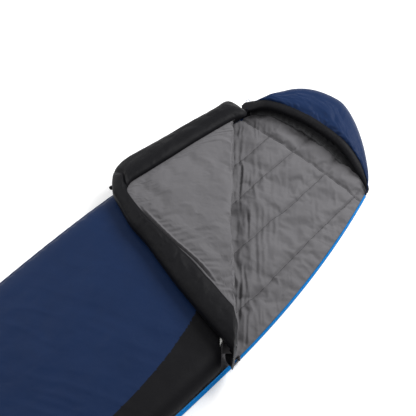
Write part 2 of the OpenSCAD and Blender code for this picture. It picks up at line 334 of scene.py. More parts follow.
def edge_at(y, hand):
    """X of the bag's edge at y, on the zip side (hand 1) or the closed side (hand -1)."""
    y = np.asarray(y, float)
    r = ZIP_R if hand > 0 else SIDE_R
    x = hand * side_x(np.minimum(y, NECK_Y), r)
    foot = corner(FOOT_Y, r, FOOT_R, 40)[::-1]
    x = np.where(y < foot[-1, 1], hand * np.interp(y, foot[:, 1], foot[:, 0]), x)
    half = len(HOOD_CURVE) // 2
    hood = HOOD_CURVE[:half + 1] if hand > 0 else HOOD_CURVE[half:][::-1]
    return np.where(y > NECK_Y, np.interp(y, hood[:, 1], hood[:, 0]), x)


def run_of(line):
    """How far along a line each of its points is."""
    return np.concatenate([[0], np.cumsum(np.linalg.norm(np.diff(line, axis=0), axis=1))])


def resample(points, step):
    """Evenly spaced points along an open line."""
    length = run_of(points)
    want = np.linspace(0, length[-1], max(2, int(length[-1] / step) + 1))
    return np.stack([np.interp(want, length, points[:, k]) for k in range(points.shape[1])], -1)


def normals_of(line):
    """Unit vectors to the right of a line in plan."""
    d = np.gradient(line, axis=0)
    n = np.stack([d[:, 1], -d[:, 0]], -1)
    return n / np.linalg.norm(n, axis=1, keepdims=True)


def line_distance(x, y, line):
    """Distance from each point to an open line in plan."""
    best = np.full(np.shape(x), 1e9)
    for a, b in zip(line[:-1], line[1:]):
        d = b - a
        t = np.clip(((x - a[0]) * d[0] + (y - a[1]) * d[1]) / (d @ d), 0, 1)
        best = np.minimum(best, np.hypot(x - a[0] - t * d[0], y - a[1] - t * d[1]))
    return best


def bag_line():
    """The bag's closed edge in plan, from the middle of the foot round by the zip."""
    ys = np.linspace(FOOT_Y + FOOT_R + 0.02, NECK_Y - 0.01, 24)
    right = np.stack([side_x(ys, ZIP_R), ys], -1)
    left = np.stack([-side_x(ys, SIDE_R), ys], -1)[::-1]
    foot_r, foot_l = corner(FOOT_Y, ZIP_R, FOOT_R), corner(FOOT_Y, SIDE_R, FOOT_R) * [-1, 1]
    return np.vstack([foot_r[::-1], right, HOOD_CURVE, left, foot_l, foot_r[-1:]])


EDGE = bag_line()


def spread(ys, left, right, u):
    """A grid's plan, a row for each y: x at the shares u of the way across, and y."""
    return left + (right - left) * u, np.repeat(ys[:, None], len(u), 1)


def at_height(xy, z):
    """Points in plan, each with its height."""
    return np.concatenate([xy, np.broadcast_to(z, xy.shape[:-1])[..., None]], -1)


def moved(line, way, d, z):
    """A line in plan, moved by d along the unit vectors way and put at height z."""
    return np.column_stack([line + way * np.reshape(d, (-1, 1)), z])


def crease_s(x, y):
    """Distance from the crease, positive on the neck's side of it."""
    return (x - CREASE[0]) * ACROSS[0] + (y - CREASE[1]) * ACROSS[1]


def crease_st(x, y):
    """The same, and the distance along the crease."""
    return crease_s(x, y), (x - CREASE[0]) * ALONG[0] + (y - CREASE[1]) * ALONG[1]


def narrow(p):
    """Draws the bands' inner corner towards the zip edge, where the draft tube is narrow."""
    p = np.array(p, float)
    x, y = p[..., 0].copy(), p[..., 1].copy()
    d = side_x(np.clip(y, -0.5, 0.8), ZIP_R) - x
    deep = line_distance(x, y, flap_path(step=0.012))
    p[..., 0] += 0.066 * smooth(0.15, 0.70, y) * smooth(0.012, 0.085, deep) * smooth(0.45, 0.12, d)
    p[..., 0] += 0.016 * smooth(0.40, 0.55, y) * smooth(0.77, 0.68, y) * smooth(0.09, 0.02, deep)
    p[..., 1] -= 0.020 * smooth(0.775, 0.70, y) * smooth(0.45, 0.68, y) * smooth(0.45, 0.08, d)
    return p


def behind_crease(y, back):
    """X of the line that runs beside the crease, back from it on the foot's side."""
    return CREASE[0] - ((y - CREASE[1]) * ACROSS[1] + back) / ACROSS[0]


def back_at(t):
    """How far behind the hinge the roll lies, along the crease."""
    return CREASE_BACK - 0.020 * smooth(0.05, 0.55, t) + 0.0035 * waver(t, 0.07, 133)


def fold(points, rolled=True):
    """Turns closed-pose points over the crease to where they lie open; rolled says whether
    they go round the soft roll."""
    p = narrow(points)
    s, t = crease_st(p[..., 0], p[..., 1])
    h = HINGE_Z - p[..., 2]
    back = back_at(t)
    behind = s - back
    if not rolled:
        xy = p[..., :2] - 2 * s[..., None] * ACROSS
        return at_height(xy, HINGE_Z + h)
    turn = np.clip(-behind / ROLL, 0, math.pi)
    past = np.minimum(behind + math.pi * ROLL, 0) - back
    puff = FLATNESS + 0.20 * waver(t, 0.09, 131) + 0.10 * waver(t, 0.03, 132)
    out = np.where(behind >= 0, -s, h * np.sin(turn) * puff + past)
    z = HINGE_Z + h * np.cos(turn)
    xy = CREASE + t[..., None] * ALONG + out[..., None] * ACROSS
    return at_height(xy, z)


def droop(points):
    """Lets the open flap sink past the bag's closed side, lets the collar's end sag, and
    keeps the roll's end from standing far past the zip."""
    p = np.array(points, float)
    x, y = p[..., 0].copy(), p[..., 1].copy()
    past = -side_x(y, SIDE_R) - x + 0.05
    lies = smooth(-0.01, -0.12, crease_s(x, y))
    p[..., 2] -= lies * 0.020 * smooth(0.0, 0.13, past)
    slack = smooth(0.15, 0.02, np.hypot(x + 0.325, y - 0.80))
    p += (slack * smooth(0.05, 0.11, p[..., 2]))[..., None] * COLLAR_SLACK
    p[..., 0] = np.where(x > 0.40, 0.40 + 0.034 * np.tanh((x - 0.40) / 0.034), p[..., 0])
    return p


# ---- materials ----
def new_material(name, colour, roughness, **sockets):
    made = bpy.data.materials.new(name)
    made.use_nodes = True
    shader = made.node_tree.nodes["Principled BSDF"]
    shader.inputs["Base Color"].default_value = (*colour, 1)
    shader.inputs["Roughness"].default_value = roughness
    for key, value in sockets.items():
        shader.inputs[key.replace("_", " ")].default_value = value
    return made


def node(tree, kind, **values):
    """A shader node; each value is a setting, an input's value or the output that feeds it."""
    made = tree.nodes.new(kind)
    for key, value in values.items():
        socket = key.replace("_", " ")
        if isinstance(value, bpy.types.NodeSocket):
            tree.links.new(value, made.inputs[socket])
        elif socket in made.inputs:
            made.inputs[socket].default_value = value
        else:
            setattr(made, key, value)
    return made


def cloth_material(name, colour, roughness, thread, weave, crinkle, sheen=0.0, tint=0.12):
    """Woven cloth: a thread pattern, fine crinkles and slow changes of shade."""
    made = new_material(name, colour, roughness, Sheen_Weight=sheen, Sheen_Roughness=0.4,
                        Specular_IOR_Level=0.09)
    tree = made.node_tree
    shader = tree.nodes["Principled BSDF"]
    place = node(tree, "ShaderNodeTexCoord").outputs["Object"]
    patches = node(tree, "ShaderNodeTexNoise", Vector=place, Scale=9.0, Detail=5.0,
                   Roughness=0.6)
    shade = node(tree, "ShaderNodeMix", data_type="RGBA",
                 A=(*[c * (1 - tint) for c in colour], 1),
                 B=(*[min(1, c * (1 + tint)) for c in colour], 1),
                 Factor=patches.outputs["Fac"])
    tree.links.new(shade.outputs["Result"], shader.inputs["Base Color"])
    waves = [node(tree, "ShaderNodeTexWave", Vector=place, Scale=1 / thread / 6.283,
                  Distortion=0.6, Detail_Scale=2.0, bands_direction=direction)
             for direction in ("X", "Y")]
    threads = node(tree, "ShaderNodeMath", operation="ADD")
    for wave, term in zip(waves, threads.inputs):
        tree.links.new(wave.outputs["Fac"], term)
    creases = node(tree, "ShaderNodeTexNoise", Vector=place, Scale=26.0, Detail=7.0,
                   Roughness=0.62, Distortion=0.7)
    woven = node(tree, "ShaderNodeBump", Strength=weave, Distance=0.0004,
                 Height=threads.outputs[0])
    creased = node(tree, "ShaderNodeBump", Strength=crinkle, Distance=0.004,
                   Height=creases.outputs["Fac"], Normal=woven.outputs["Normal"])
    tree.links.new(creased.outputs["Normal"], shader.inputs["Normal"])
    return made


NAVY = cloth_material("navy taffeta", (0.0068, 0.0200, 0.066), 0.46, 0.0011, 0.25, 0.30)
BLACK = cloth_material("black taffeta", (0.0056, 0.0056, 0.0070), 0.50, 0.0011, 0.25, 0.35)
GREY = cloth_material("grey lining", (0.126, 0.123, 0.130), 0.62, 0.0009, 0.2, 0.35, 0.04)
# The hood lining is black. That is partly its own colour and partly painted shade that darkens the
# hollow under the brim. The three lighter greys are painted steps for the soft edge of the shadow
# below the trim.
DARK = cloth_material("hood lining", (0.010, 0.010, 0.0115), 0.7, 0.0009, 0.2, 0.3)
SHADE_STEPS = [cloth_material(f"hood lining, faded {i + 1}", (c, c, c * 1.05), 0.7, 0.0009, 0.2, 0.3)
         for i, c in enumerate((0.018, 0.034, 0.062))]
FIBRE = cloth_material("fibre filling", (0.75, 0.75, 0.73), 0.95, 0.002, 0.4, 0.9)
TAPE = cloth_material("blue zip tape", (0.0, 0.195, 0.56), 0.6, 0.0006, 0.5, 0.1)
COIL = cloth_material("blue zip coil", (0.0, 0.210, 0.58), 0.3, 0.003, 0.1, 0.05)
WEBBING = cloth_material("black webbing", (0.012, 0.012, 0.013), 0.75, 0.0016, 1.0, 0.1)
HOOKS = cloth_material("hook tape", (0.016, 0.016, 0.018), 0.9, 0.0011, 1.0, 0.6)
QUILT_THREAD = cloth_material("quilting thread", (0.045, 0.044, 0.047), 0.7, 0.0005, 0.2, 0.1)
CORD = cloth_material("elastic cord", (0.045, 0.085, 0.19), 0.6, 0.0008, 0.8, 0.1)


def moulded(name, colour, roughness, metallic=0.0, grain=0.15):
    """Moulded plastic or painted metal with a fine grain and slightly uneven gloss."""
    made = new_material(name, colour, roughness, Metallic=metallic)
    tree = made.node_tree
    shader = tree.nodes["Principled BSDF"]
    speck = node(tree, "ShaderNodeTexNoise", Scale=900.0, Detail=3.0,
                 Vector=node(tree, "ShaderNodeTexCoord").outputs["Object"]).outputs["Fac"]
    relief = node(tree, "ShaderNodeBump", Strength=grain, Distance=0.0002, Height=speck)
    tree.links.new(relief.outputs["Normal"], shader.inputs["Normal"])
    spread_out = node(tree, "ShaderNodeMapRange", Value=speck, To_Min=roughness * 0.8,
                      To_Max=min(1.0, roughness * 1.25))
    tree.links.new(spread_out.outputs["Result"], shader.inputs["Roughness"])
    return made


PLASTIC = moulded("black plastic", (0.015, 0.015, 0.017), 0.42)
ZIP_METAL = moulded("painted zip metal", (0.03, 0.03, 0.034), 0.35, 0.6)
STEEL = moulded("spring steel", (0.55, 0.55, 0.57), 0.3, 1.0, 0.05)

# ---- cords ----
# Route of the loop outside the trim, in millimetres, from the cord lock and back to it.
LOOP_MM = [(-327, 823.5, 45), (-329, 828, 45), (-333, 834, 45), (-338, 838, 44),
           (-343, 841, 43), (-348, 845, 42), (-352, 850, 41), (-353, 856, 40),
           (-350, 861, 40), (-345, 862, 40), (-340, 859, 41), (-337, 854, 42),
           (-335, 848, 43), (-333, 842, 44), (-330, 836, 45), (-326, 829, 45),
           (-323, 822.5, 45)]
CORD_D = 0.0025


def cord_curve(name, points, diameter, material):
    data = bpy.data.curves.new(name, "CURVE")
    data.dimensions = "3D"
    data.bevel_depth, data.bevel_resolution = diameter / 2, 4
    data.resolution_u = 6
    line = data.splines.new("POLY")
    line.points.add(len(points) - 1)
    for place, p in zip(line.points, points):
        place.co = (*p, 1)
    data.materials.append(material)
    return add_object(name, data)


def cord_mesh(name, points, diameter, material):
    """The same as a mesh, for a wire or a cord that is hidden."""
    line = cord_curve(name, points, diameter, material)
    drawn = final_mesh(line)
    bpy.data.objects.remove(line)
    return add_object(name, drawn)


def smooth_line(points, count):
    """A Catmull-Rom curve through the points."""
    p = np.vstack([2 * points[0] - points[1], points, 2 * points[-1] - points[-2]])
    out = []
    for k in range(1, len(p) - 2):
        for t in np.linspace(0, 1, count, endpoint=False):
            a, b, c, d = p[k - 1], p[k], p[k + 1], p[k + 2]
            out.append(0.5 * (2 * b + (c - a) * t + (2 * a - 5 * b + 4 * c - d) * t * t
                              + (3 * b - a - 3 * c + d) * t ** 3))
    return np.array(out + [points[-1]])


def make_drawcord_loop():
    route = smooth_line(np.array(LOOP_MM) / 1000, 4)
    piece = cord_curve("elastic_drawcord_loop", route, CORD_D, CORD)
    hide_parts("drawcord_loop")
    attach(piece, "bag")


make_drawcord_loop()


# ---- lower panel ----
SEAM_X = (-0.34, -0.18, -0.05, 0.11, 0.27)     # quilting seams: their x at y = 0.2
UP = np.array([-0.667, 0.745])                 # the way that the long wrinkles run
SIDEWAYS = np.array([0.95, 0.31])              # the way that the wrinkles by the zip run


def seam_at(seam, y):
    waver = 0.005 * np.sin(9 * y + 20 * seam) + 0.0035 * noise(y, 0 * y + seam, 0.06, 15)
    return seam * (1.02 - 0.1 * y) + waver


def seam_line(x, seam, y):
    return x - seam_at(seam, y)


def quilt(x, y, width=0.006):
    """Depth of the quilting: 1 on a seam, 0 between seams."""
    depth = np.zeros(np.shape(x))
    for seam in SEAM_X:
        depth = np.maximum(depth, bump(seam_line(x, seam, y), width))
    depth = depth * (0.35 + 0.65 * smooth(0.80, 0.76, y))
    return np.maximum(depth, bump(y - 0.766 + 0.05 * x + 0.01 * (x / 0.3) ** 2, width))


def wrinkles(x, y, size, seed, way=UP, long=0.22):
    """Long wrinkles that run one way, with rounded tops and sharper valleys."""
    a, b = x * way[1] - y * way[0], x * way[0] + y * way[1]
    bent = a + 0.5 * size * noise(a, b, size * 3, seed + 9)
    return 0.6 - 1.6 * np.abs(noise(bent, b * long, size, seed)) ** 0.8


def lower_lining_z(x, y, d):
    """Height of the grey lining of the lower panel."""
    open_side = smooth(0.0, 0.1, x) * smooth(0.83, 0.79, y)
    edge = 1 - open_side * (1 - smooth(-0.004, 0.075, d))
    z = 0.014 + (LOW_Z + 0.002 - 0.014) * edge
    puff = 0.5 + 0.5 * np.cos(np.clip(quilt(x, y, 0.020), 0, 1) * math.pi)
    z = z - 0.0045 * (1 - puff) * edge - 0.0035 * quilt(x, y) * edge
    near = smooth(0.24, 0.02, crease_s(x, y)) * smooth(0.80, 0.60, y)
    folds = 0.0028 * noise(x, y, 0.13, 21) + 0.0024 * rough(x, y, 0.05, 9)
    folds += (0.0016 + 0.0034 * near) * wrinkles(x, y, 0.022, 12, long=0.13)
    return z + folds * edge


def lower_rows():
    hidden = np.linspace(FOOT_Y + 0.004, -0.26, 26)
    seen = np.linspace(-0.255, NECK_Y, 160)
    hood = NECK_Y + (HEAD_Y - 0.02 - NECK_Y) * np.sin(np.linspace(0.03, math.pi / 2, 32))
    return np.concatenate([hidden, seen, hood])


def sew_quilting(lining):
    """Lines of thread along the quilting seams, lying in their grooves."""
    lining.data.update()
    tree = BVHTree.FromPolygons([v.co[:] for v in lining.data.vertices],
                                [q.vertices[:] for q in lining.data.polygons])
    runs = []
    for seam in SEAM_X:
        ys = np.linspace(-0.245, 0.765 - 0.05 * seam, 330)
        runs.append(np.stack([seam_at(seam, ys), ys], -1))
    xs = np.linspace(-0.31, 0.28, 220)
    runs.append(np.stack([xs, 0.766 - 0.05 * xs - 0.01 * (xs / 0.3) ** 2], -1))
    lines = []
    for number, run in enumerate(runs):
        inside = np.abs(run[:, 0]) < np.where(run[:, 0] > 0, side_x(run[:, 1], ZIP_R),
                                              side_x(run[:, 1], SIDE_R)) - 0.014
        run = run[inside]
        hits = [tree.ray_cast((x, y, 0.3), (0, 0, -1))[0] for x, y in run]
        z = np.array([h[2] if h else 0.02 for h in hits]) + 0.0003
        side = normals_of(run)
        rows = [np.column_stack([run + side * o, z + lift])
                for o, lift in ((-0.0009, -0.0004), (0.0, 0.0004), (0.0009, -0.0004))]
        lines.append(grid(f"quilting_line_{number}", np.array(rows), QUILT_THREAD))
    threads = joined("quilting_threads", lines)
    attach(threads, "bag")


def make_lower_panel():
    ys = lower_rows()
    u = np.concatenate([np.linspace(0, 0.92, 104), np.linspace(0.928, 1, 12)])
    left = edge_at(ys, -1)[:, None] + 0.004
    right = edge_at(ys, 1)[:, None] - 0.0015
    x, y = spread(ys, left, right, u)
    d = line_distance(x, y, EDGE)
    z = lower_lining_z(x, y, d)
    lining = grid("lower_lining", np.stack([x, y, z], -1), GREY)
    held = np.clip((quilt(x, y) - 0.75) * 4, 0, 1)
    held = np.maximum(held, (y < -0.24) | (y > 0.99) | (d < 0.004))
    settle(lining, held.reshape(-1))
    p = relax(lining, x.shape, 1)
    high = np.stack([x, y, np.maximum(p[..., 2] - 0.016, 0.007)], -1)
    p = finer(p)
    x, y = p[..., 0], p[..., 1]
    seam = quilt(x, y, 0.0034)
    beside = quilt(x, y, 0.016) * (1 - seam)
    pucker = np.sin((x + y) / 0.0016 + 4 * noise(x, y, 0.02, 14)) * noise(x, y, 0.03, 15)
    seen = smooth(-0.3, -0.2, y)
    by_crease = smooth(0.30, 0.02, crease_s(x, y))
    by_zip = smooth(0.22, 0.05, side_x(np.clip(y, -0.8, 0.8), ZIP_R) - x)
    patchy = smooth(-0.35, 0.45, noise(x, y, 0.08, 19))
    fine = (0.0005 + 0.0030 * by_crease) * patchy * wrinkles(x, y, 0.013, 17, long=0.12)
    fine += 0.0020 * by_zip * (1 - by_crease) * patchy * wrinkles(x, y, 0.016, 18, SIDEWAYS, 0.16)
    s, t = crease_st(x, y)
    for at, wander, width, deep, seed in ((0.016, 0.010, 0.0042, 0.0075, 22),
                                          (0.043, 0.018, 0.0038, 0.0050, 23)):
        pleat = s - at - wander * waver(t, 0.15, seed)
        there = smooth(-0.15, 0.35, waver(t, 0.11, seed + 2))
        shoulders = 0.3 * deep * bump(np.abs(pleat) - 2 * width, width)
        fine += there * (shoulders - deep * bump(pleat, width))
    p[..., 2] += seen * smooth(0.004, 0.03, finer(d)) * fine
    p[..., 2] -= seen * (0.0038 * seam + 0.0007 * pucker * beside + 0.0006 * rough(x, y, 0.016, 16))
    lining = redraw(lining, p)
    sew_quilting(lining)
    thicken(lining, 0.0012)
    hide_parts("bottom_lining")
    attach(lining, "bag")
    cut = (slice(3, -9, 3), slice(6, -9, 4))
    high = high[cut]
    low = high.copy()
    low[..., 2] = 0.0045
    filling("lower_filling", low, high, "bottom_fill", "bag")


make_lower_panel()


# ---- outer shell: underside, closed side, foot ----
SEAM_Z = 0.040                                 # height of the side seam
TOP_END_Y = 0.757                              # where the top panel's outer shell ends


def make_underside():
    """The lower shell: flat where it lies, rounding up to the seam at its edge."""
    ys = np.linspace(FOOT_Y + 0.001, HEAD_Y - 0.001, 200)
    u = 0.5 - 0.5 * np.cos(np.linspace(0, math.pi, 90))
    left, right = edge_at(ys, -1)[:, None], edge_at(ys, 1)[:, None]
    x, y = spread(ys, left, right, u)
    d = line_distance(x, y, EDGE)
    zip_side = smooth(0.0, 0.1, x) * smooth(-0.90, -0.86, y) * smooth(0.83, 0.79, y)
    rise = SEAM_Z + (0.003 - SEAM_Z) * zip_side
    reach = 0.030 - 0.022 * zip_side
    t = 1 - np.clip(d / reach, 0, 1)
    z = 0.0012 + (rise - 0.0012) * (1 - np.sqrt(np.clip(1 - t**2, 0, 1)))
    z = z + 0.0006 * (1 + rough(x, y, 0.05, 31)) * smooth(0.03, 0.08, d)
    shell = grid("lower_shell", np.stack([x, y, z], -1)[:, ::-1], NAVY)
    thicken(shell)
    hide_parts("bottom_shell")
    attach(shell, "bag")


make_underside()


def top_z(x, y, d):
    """Height of the navy top of the bag: crowned, with slow waves and puckers."""
    t = 1 - np.clip(d / 0.075, 0, 1)
    z = SEAM_Z + (TOP_Z - SEAM_Z) * np.clip(1 - t**2.4, 0, 1) ** (1 / 2.0)
    inside = smooth(0.02, 0.12, d)
    waves = 0.0035 * rough(x * 0.8 + y * 0.5, y * 0.6 - x * 0.3, 0.22, 41)
    waves += 0.0016 * rough(x, y, 0.06, 42) + 0.0012 * wrinkles(x, y, 0.04, 44, SIDEWAYS)
    puckers = 0.0014 * np.sin(y / 0.0075 + 3 * noise(x, y, 0.05, 43)) * bump(d - 0.022, 0.012)
    seam = -0.003 * bump(d - 0.020, 0.0035)
    free = smooth(0.0, 0.10, flap_gap(x, y))
    return z + waves * inside * free + (puckers + seam) * smooth(0.0, -0.1, x)


def flap_gap(x, y):
    """Distance outside the area that the open flap covers; 0 under the flap."""
    p = np.stack([x, y], -1)
    s = crease_s(x, y)
    mirrored = p - 2 * s[..., None] * ACROSS
    out = mirrored[..., 0] - side_x(np.clip(mirrored[..., 1], -0.9, 0.8), ZIP_R) - BAND_OUT
    return np.maximum(out, 0) + np.maximum(s, 0)


def make_top_shell():
    ys = np.linspace(FOOT_Y + 0.0005, TOP_END_Y, 260)
    u = np.concatenate([0.16 * (1 - np.cos(np.linspace(0, math.pi / 2, 26))),
                        np.linspace(0.165, 0.835, 80),
                        1 - 0.16 * (1 - np.cos(np.linspace(math.pi / 2, 0, 26)))])
    left = edge_at(ys, -1)[:, None]
    right = np.minimum(edge_at(ys, 1)[:, None], behind_crease(ys[:, None], SHELL_BACK))
    right = np.maximum(right, left + 0.0005)
    x, y = spread(ys, left, right, u)
    border = border_left(y)
    near = np.abs(x - border).argmin(1)
    rows = np.arange(len(ys))
    inside = (near > 2) & (near < x.shape[1] - 3)
    x[rows[inside], near[inside]] = border[rows[inside], 0]
    d = line_distance(x, y, EDGE)
    z = top_z(x, y, d)
    navy = grid("top_outer_shell", np.stack([x, y, z], -1), NAVY)
    paint(navy, [BLACK], centres(x) > centres(border))
    thicken(navy)
    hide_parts("top_shell", "side_shell", "top_border")
    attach(navy, "bag")


def border_left(y):
    width = 0.08 + 0.118 * np.exp(np.minimum(0, y + 0.024) / 0.33)
    return side_x(np.clip(y, FOOT_Y + 0.02, NECK_Y), ZIP_R) - width


make_top_shell()


# ---- folded corner of the top panel ----
CREASE_ZIP = np.array([0.3895, -0.0788])       # where the crease meets the zip edge
CREASE_SIDE = np.array([-0.3298, TOP_NECK_Y])  # where it meets the neck line


def flap_path(past_zip=0.0, past_side=0.0, step=0.006):
    """The flap's edge when closed: up the zip edge, round the corner, along the neck."""
    arc = corner(TOP_NECK_Y, ZIP_R, SOFT_R, 30)
    ys = np.linspace(CREASE_ZIP[1] - past_zip, arc[0, 1], 80)[:-1]
    up = np.stack([side_x(ys, ZIP_R), ys], -1)
    end = np.array([[CREASE_SIDE[0] - past_side, TOP_NECK_Y]])
    return resample(np.vstack([up, arc, end]), step)


def mitre_index(line):
    """Where the collar and the draft tube meet: halfway round the corner."""
    n = normals_of(line)
    angle = np.arctan2(n[:, 1], n[:, 0])
    return int(np.argmin(np.abs(angle - (math.pi / 2 + side_a(TOP_NECK_Y, ZIP_R)) / 2)))


def round_roll(points):
    """How far closed-pose points are round the roll: 0 on the bag's side, 1 on the flap's."""
    p = narrow(points)
    s, t = crease_st(p[..., 0], p[..., 1])
    return 1 - np.clip((back_at(t) - s) / ROLL, 0, math.pi) / math.pi


def bend_round(piece, share):
    """Works out each point's share of the turn over the crease, then puts the piece's points back
    as they were.
    """
    count = len(piece.data.vertices)
    shape = np.empty(count * 3)
    piece.data.vertices.foreach_get("co", shape)
    share = np.resize(share.reshape(-1), count)
    level = 0.5 - np.sin(np.arcsin(np.clip(1 - 2 * share, -1, 1)) / 3)
    heights = np.column_stack([0 * level, 0 * level, level])
    piece.data.vertices.foreach_set("co", heights.reshape(-1))
    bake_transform(piece)
    piece.data.vertices.foreach_set("co", shape)
    piece.data.update()


BAND_MID, BAND_BASE = -0.033, 0.0632           # middle of a band, and its back's height


def band_section(count=36):
    """Section of a padded band: (out from the edge, height when closed), a closed loop."""
    a = np.linspace(math.pi, 0.18, count)
    half, deep = 0.0495, 0.0235
    top = np.stack([BAND_MID + half * np.cos(a),
                    0.0615 - deep * np.abs(np.sin(a)) ** 0.75], -1)
    wrap = np.array([[0.0168, 0.064], [0.0164, 0.072], [0.0145, 0.080], [0.0105, 0.0865],
                     [0.0062, 0.0895], [0.0046, 0.086], [0.0044, 0.076], [0.0044, 0.066],
                     [-0.003, 0.0642], [-0.03, 0.0640], [-0.06, 0.0638], [-0.079, 0.0632]])
    return np.vstack([top, wrap])


def band(name, line, node_name, seed, tube):
    """A black padded band along line, with a pinched mitre at one end.

    The draft tube has its mitre at its end and goes round the roll; the collar doesn't.
    """
    section = band_section()
    n = normals_of(line)
    run = run_of(line)
    to_mitre, to_end = (run[-1] - run, run) if tube else (run, run[-1] - run)
    o, z = section[:, 0], section[:, 1]
    height = BAND_BASE - z
    full = 1 - 0.30 * np.exp(-(to_mitre / 0.011) ** 2)
    tip = np.sqrt(np.clip(1 - (1 - np.clip(to_end / 0.040, 0, 1)) ** 2.4, 0.0004, 1))
    full = full + 0.16 * bump(to_end - 0.055, 0.035)
    swollen = (1 + 0.20 * bump(to_end - 0.045, 0.030))[:, None]
    oo = BAND_MID + (o[None, :] - BAND_MID) * (0.12 + 0.88 * tip[:, None]) * swollen
    along = run[:, None] + 0.012 * noise(oo, run[:, None], 0.03, seed)
    ripple = np.sin(along / 0.0042 + 2.5 * waver(along, 0.05, seed + 1))
    seams = bump(oo + 0.078, 0.016) + 0.6 * bump(oo - 0.008, 0.014)
    top = (z[None, :] < 0.0612)
    lumps = 0.0020 * rough(along, oo * 2.2, 0.06, seed + 2)
    lumps = lumps + 0.0030 * noise(along, oo * 1.3, 0.14, seed + 5)
    dent = 0.0006 * ripple * seams * waver(along, 0.04, seed + 7) + lumps
    slack = 0.5 - 1.4 * np.abs(noise(along + 0.9 * oo, oo * 0.4, 0.045, seed + 6)) ** 0.8
    dent = dent - 0.0022 * slack * np.abs(np.sin(oo * 38))
    zz = BAND_BASE - height[None, :] * full[:, None] * tip[:, None] - top * dent * tip[:, None]
    zz = zz + 0.012 * (1 - tip[:, None])
    swell = 0.0016 * waver(along, 0.09, seed + 3) * (oo > -0.02)
    wobble = 0.0022 * waver(along, 0.07, seed + 4) * bump(oo + 0.082, 0.02)
    xy = line[:, None, :] + n[:, None, :] * (oo + swell + wobble)[..., None]
    flat = at_height(xy, zz)
    piece = grid(name, droop(fold(flat, tube)), BLACK, loop=True)
    cap_ends(piece, len(line), len(section))
    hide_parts(node_name)
    share = round_roll(flat)
    ends = [share[0].mean(), share[-1].mean()]
    bend_round(piece, np.concatenate([share.reshape(-1), ends]))


def make_bands():
    line = flap_path(past_zip=0.10, past_side=-0.002, step=0.003)
    cut = mitre_index(line)
    band("padded_draft_tube", line[:cut + 1], "draft_tube", 51, True)
    band("padded_neck_collar", line[cut:], "neck_collar", 61, False)


def flap_fan(line, o, back=0.0, rows=60, roll_rows=22, front=0.0, until=1.0):
    """Points from behind the crease, over it, to the flap's edge moved in by o."""
    n = normals_of(line)
    edge = line + n * o
    f = np.linspace(0, until, len(line))[:, None]
    root = CREASE_ZIP + (CREASE_SIDE - CREASE_ZIP) * f + ACROSS * front
    out = [root - ACROSS * k for k in np.linspace(back, 0.0, roll_rows)[:-1]] if back else []
    out += [root + (edge - root) * u for u in np.linspace(0, 1, rows)]
    return np.array(out)


def make_flap_lining():
    """The corner's lining, gathered along the bands, round the roll and over the crease."""
    line = flap_path(step=0.0055)
    xy = flap_fan(line, 0.012 - BAND_W, back=math.pi * ROLL + 0.03, rows=84, roll_rows=34,
                  until=0.985)
    x, y = xy[..., 0], xy[..., 1]
    seam = line + normals_of(line) * -BAND_W
    d = line_distance(x, y, seam[::3])
    part = np.linspace(0, 1, len(line))[None, :] + 0 * x
    run = part * 1.35
    s, t = crease_st(x, y)
    rise = 0.010 * smooth(0, 0.10, d) + 0.004 * smooth(0.05, 0.2, d)
    gather = np.sin((run - 0.5 * d) / 0.0042 + 5 * noise(run, d * 0.7, 0.05, 71))
    gather = gather * (0.5 + 0.5 * noise(run - 0.5 * d, 0 * x, 0.06, 72)) * np.exp(-d / 0.045)
    lumps = 0.0030 * rough(x * 0.9 - y * 0.5, x * 0.4 + y, 0.10, 73) * smooth(0, 0.06, d)
    cross = np.sin(t / 0.009 + 4 * noise(t, s, 0.06, 74)) * (0.5 + 0.5 * noise(t, s, 0.11, 75))
    lip = 0.0026 * cross * bump(s - 0.010, 0.030) * smooth(0.01, 0.06, d)
    strong = 0.0004 + 0.0018 * smooth(0.42, 0.50, part) * smooth(0.68, 0.58, part)
    z = TOP_LOW - rise * smooth(-0.06, 0.08, s) - strong * gather - lumps - lip
    flat = at_height(xy, z)
    piece = grid("flap_inner_lining", droop(fold(flat)), GREY)
    held = np.maximum(smooth(0.012, 0.006, d), smooth(-0.05, -0.08, s))
    settle(piece, held.reshape(-1), spare=0.02, bending=1.0, pressure=0.3, cap=0.012, frames=14)
    p = finer(relax(piece, x.shape, 1))
    p[..., 2] += 0.0008 * smooth(0.10, 0.115, p[..., 2]) * rough(p[..., 0], p[..., 1], 0.018, 76)
    part, d = finer(part), finer(d)
    pleated = smooth(0.17, 0.25, part) * smooth(0.50, 0.42, part)
    slant = d - 0.008 - 0.006 * waver(part, 0.10, 77)
    p[..., 2] += pleated * (0.0030 * bump(slant + 0.005, 0.0035) - 0.0110 * bump(slant, 0.0034)
                            + 0.0040 * bump(slant - 0.007, 0.004))
    share = finer(round_roll(flat))
    over, close = share > 0.5, (share > 0.3) & (share < 0.7)
    p[..., 2] = np.where(close & over, np.maximum(p[..., 2], HINGE_Z + 0.004), p[..., 2])
    p[..., 2] = np.where(close & ~over, np.minimum(p[..., 2], HINGE_Z - 0.004), p[..., 2])
    inside = np.clip(p[..., 0], 0.012 - side_x(p[..., 1], SIDE_R), side_x(p[..., 1], ZIP_R) - 0.004)
    p[..., 0] = np.where(over, p[..., 0], inside)
    piece = redraw(piece, p)
    thicken(piece)
    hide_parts("flap_lining")
    share = over.reshape(-1).astype(float)
    bend_round(piece, np.concatenate([share, share]))


